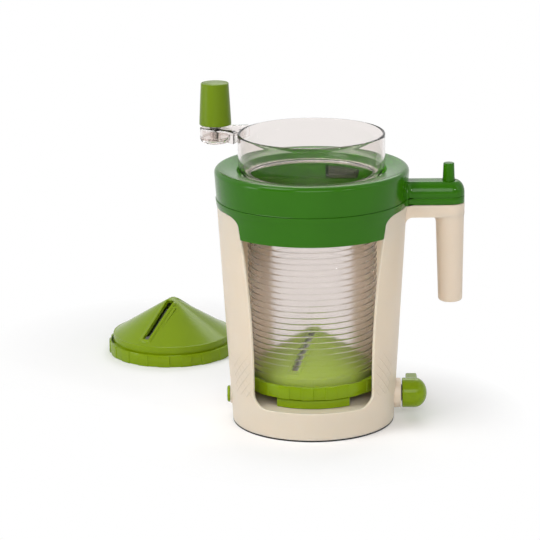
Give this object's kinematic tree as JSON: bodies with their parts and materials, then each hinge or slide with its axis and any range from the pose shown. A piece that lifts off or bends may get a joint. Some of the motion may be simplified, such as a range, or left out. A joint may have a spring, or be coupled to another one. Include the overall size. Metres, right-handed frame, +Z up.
{
  "type": "spiralizer",
  "caption": "Hand cranked vegetable spiralizer: housing on a suction foot, collar with a carrying handle, threaded clear drum with cup and crank, cone blade insert and a spare one.",
  "frame": {"origin": "on the drum's axis, where the suction pad meets the table", "axes": "+Z up, -Y towards the front window, +X towards the carrying handle"},
  "size_m": [0.3611, 0.3896, 0.3252],
  "materials": {
    "cream_plastic": "satin cream ABS",
    "green_plastic": "glossy dark green ABS",
    "lime_plastic": "glossy lime ABS",
    "clear_plastic": "clear styrene acrylonitrile",
    "clear_silicone": "translucent silicone",
    "grey_nylon": "moulded nylon",
    "black_rubber": "matt black rubber",
    "steel": "stainless steel"
  },
  "bodies": {
    "base": {"housing": "cream_plastic", "lower_collar": "green_plastic", "upper_ring": "green_plastic", "collar_screw_1": "steel", "collar_screw_2": "steel", "collar_screw_3": "steel", "collar_screw_4": "steel", "pivot_pin": "steel", "release_spring": "steel", "prong_plate": "lime_plastic", "prong_1": "steel", "prong_2": "steel", "prong_3": "steel", "prong_4": "steel", "prong_5": "steel", "prong_6": "steel", "prong_7": "steel", "suction_pad": "black_rubber", "bottom_cover": "cream_plastic", "cover_screw_1": "steel", "cover_screw_2": "steel", "cover_screw_3": "steel", "cover_screw_4": "steel", "right_bush": "grey_nylon", "left_bush": "grey_nylon"},
    "neck": {"neck_ring": "clear_silicone"},
    "drum": {"drum": "clear_plastic", "knob_axle": "steel", "knob_washer": "steel"},
    "knob": {"crank_knob": "lime_plastic", "knob_cap": "lime_plastic"},
    "insert": {"insert_cone": "lime_plastic", "insert_blade_1": "steel", "insert_blade_2": "steel", "insert_blade_screw_1": "steel", "insert_blade_screw_2": "steel", "insert_blade_screw_3": "steel", "insert_blade_screw_4": "steel"},
    "spare": {"spare_cone": "lime_plastic", "spare_blade_1": "steel", "spare_blade_2": "steel", "spare_blade_screw_1": "steel", "spare_blade_screw_2": "steel", "spare_blade_screw_3": "steel", "spare_blade_screw_4": "steel"},
    "release": {"release_lever": "green_plastic", "half_nut": "grey_nylon", "nut_screw_1": "steel", "nut_screw_2": "steel"},
    "lever": {"suction_lever": "lime_plastic", "lever_axle": "steel", "lift_cam": "grey_nylon", "axle_cap": "lime_plastic"},
    "stem": {"cup_stem": "grey_nylon"}
  },
  "joints": [
    {"name": "drum_feed", "type": "slide", "parent": "base", "child": "neck", "axis": [0, 0, 1], "range_m": [0, 0.123]},
    {"name": "crank_turn", "type": "hinge", "parent": "neck", "child": "drum", "pos_m": [0, 0, 0.24], "axis": [0, 0, 1], "range_deg": [0, 7560]},
    {"name": "knob_spin", "type": "hinge", "parent": "drum", "child": "knob", "pos_m": [-0.0919, 0.03164, 0.285], "axis": [0, 0, 1], "continuous": true},
    {"name": "insert_twist", "type": "hinge", "parent": "drum", "child": "insert", "pos_m": [0, 0, 0.045], "axis": [0, 0, 1], "range_deg": [0, 30]},
    {"name": "release_turn", "type": "hinge", "parent": "base", "child": "release", "pos_m": [0.097, 0, 0.2235], "axis": [0, 0, -1], "range_deg": [0, 3], "stiffness_Nm_per_rad": 2, "springref_deg": -2.86, "deforming": ["release_spring"]},
    {"name": "suction_turn", "type": "hinge", "parent": "base", "child": "lever", "pos_m": [0, 0, 0.024], "axis": [1, 0, 0], "range_deg": [0, 90]},
    {"name": "pad_lift", "type": "slide", "parent": "base", "child": "stem", "axis": [0, 0, 1], "range_m": [0, 0.003], "deforming": ["suction_pad"]},
    {"name": "spare_lift", "type": "slide", "parent": "base", "child": "spare", "axis": [0, 0, 1], "range_m": [0, 0.1]}
  ],
  "couplings": [
    {"joint": "drum_feed", "follows": "crank_turn", "m_per_rad": 0.00093106},
    {"joint": "pad_lift", "follows": "suction_turn", "m_per_rad": 0.001909}
  ]
}
